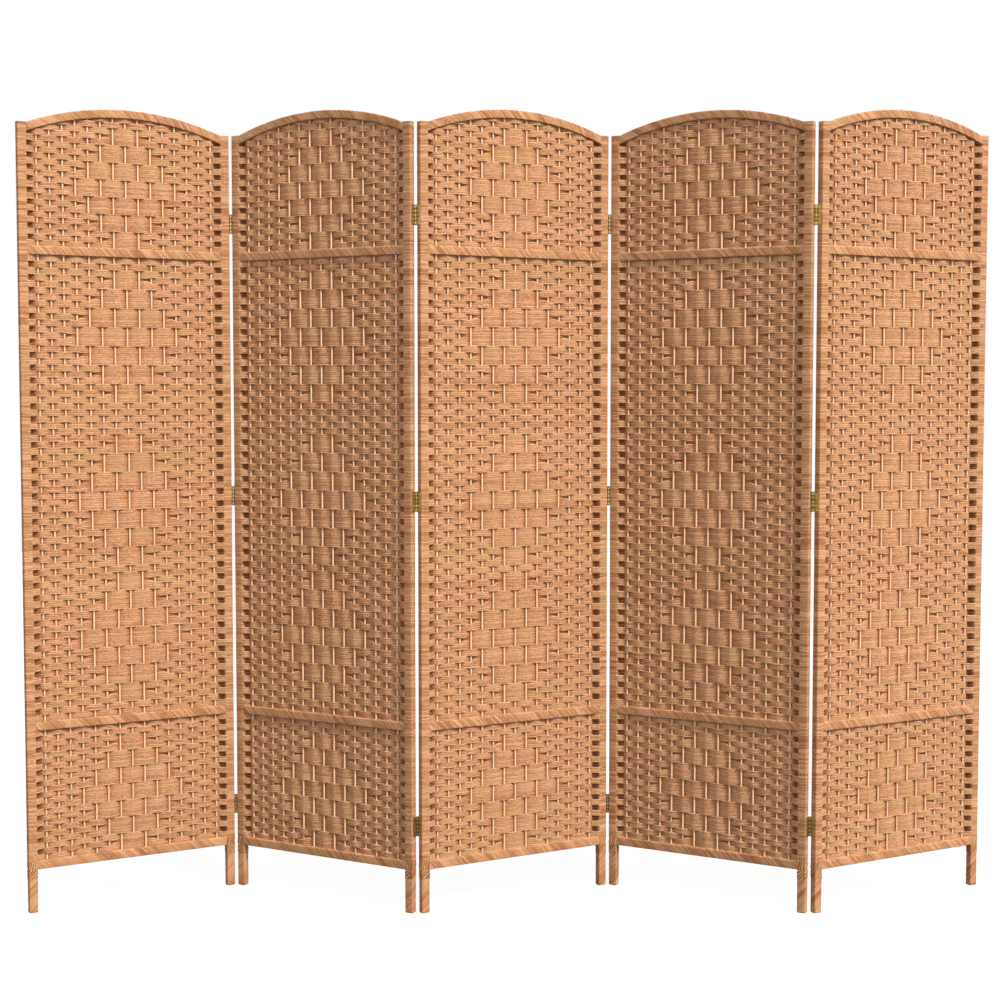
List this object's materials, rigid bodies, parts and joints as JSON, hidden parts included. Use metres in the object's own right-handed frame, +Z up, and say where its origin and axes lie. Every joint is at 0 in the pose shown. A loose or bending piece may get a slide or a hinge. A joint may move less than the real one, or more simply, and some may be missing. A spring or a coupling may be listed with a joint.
{
  "type": "room divider",
  "caption": "Folding room divider: arched panels of twisted fibre cord woven over upright stakes in a diamond pattern, on fibre-wound wooden frames joined by brass butt hinges.",
  "frame": {"origin": "middle of the bounding box on the floor, with the screen standing in its zigzag", "axes": "+X along the screen to the right as seen from the front, +Y away from the viewer, +Z up"},
  "size_m": [2.2444, 0.2566, 1.8418],
  "materials": {
    "frame_wood": "bare planed softwood",
    "bamboo": "satin pale bamboo",
    "woven_fibre": "matt woven twisted paper fibre",
    "wound_fibre": "matt wound twisted paper fibre",
    "brass": "satin brass plate"
  },
  "bodies": {
    "panel_1": {"left_stile_1": "frame_wood", "right_stile_1": "frame_wood", "bottom_rail_1": "frame_wood", "lower_rail_1": "frame_wood", "upper_rail_1": "frame_wood", "top_arch_1": "frame_wood", "stakes_1": "bamboo", "weft_1": "woven_fibre", "wrap_1": "wound_fibre", "hinge_leaves_1": "brass", "hinge_screws_1": "brass", "hinge_pins_12": "brass"},
    "panel_2": {"left_stile_2": "frame_wood", "right_stile_2": "frame_wood", "bottom_rail_2": "frame_wood", "lower_rail_2": "frame_wood", "upper_rail_2": "frame_wood", "top_arch_2": "frame_wood", "stakes_2": "bamboo", "weft_2": "woven_fibre", "wrap_2": "wound_fibre", "hinge_leaves_2": "brass", "hinge_screws_2": "brass", "hinge_pins_23": "brass"},
    "panel_3": {"left_stile_3": "frame_wood", "right_stile_3": "frame_wood", "bottom_rail_3": "frame_wood", "lower_rail_3": "frame_wood", "upper_rail_3": "frame_wood", "top_arch_3": "frame_wood", "stakes_3": "bamboo", "weft_3": "woven_fibre", "wrap_3": "wound_fibre", "hinge_leaves_3": "brass", "hinge_screws_3": "brass", "hinge_pins_34": "brass"},
    "panel_4": {"left_stile_4": "frame_wood", "right_stile_4": "frame_wood", "bottom_rail_4": "frame_wood", "lower_rail_4": "frame_wood", "upper_rail_4": "frame_wood", "top_arch_4": "frame_wood", "stakes_4": "bamboo", "weft_4": "woven_fibre", "wrap_4": "wound_fibre", "hinge_leaves_4": "brass", "hinge_screws_4": "brass", "hinge_pins_45": "brass"},
    "panel_5": {"left_stile_5": "frame_wood", "right_stile_5": "frame_wood", "bottom_rail_5": "frame_wood", "lower_rail_5": "frame_wood", "upper_rail_5": "frame_wood", "top_arch_5": "frame_wood", "stakes_5": "bamboo", "weft_5": "woven_fibre", "wrap_5": "wound_fibre", "hinge_leaves_5": "brass", "hinge_screws_5": "brass"}
  },
  "joints": [
    {"name": "fold_12", "type": "hinge", "parent": "panel_2", "child": "panel_1", "pos_m": [-0.67551, 0.11403, 0.9468], "axis": [0, 0, 1], "range_deg": [-58.26, 121.74]},
    {"name": "fold_23", "type": "hinge", "parent": "panel_3", "child": "panel_2", "pos_m": [-0.22517, -0.11403, 0.9468], "axis": [0, 0, -1], "range_deg": [-58.26, 118.74]},
    {"name": "fold_34", "type": "hinge", "parent": "panel_3", "child": "panel_4", "pos_m": [0.22517, 0.11403, 0.9468], "axis": [0, 0, -1], "range_deg": [-58.26, 118.74]},
    {"name": "fold_45", "type": "hinge", "parent": "panel_4", "child": "panel_5", "pos_m": [0.67551, -0.11403, 0.9468], "axis": [0, 0, 1], "range_deg": [-58.26, 121.74]}
  ]
}
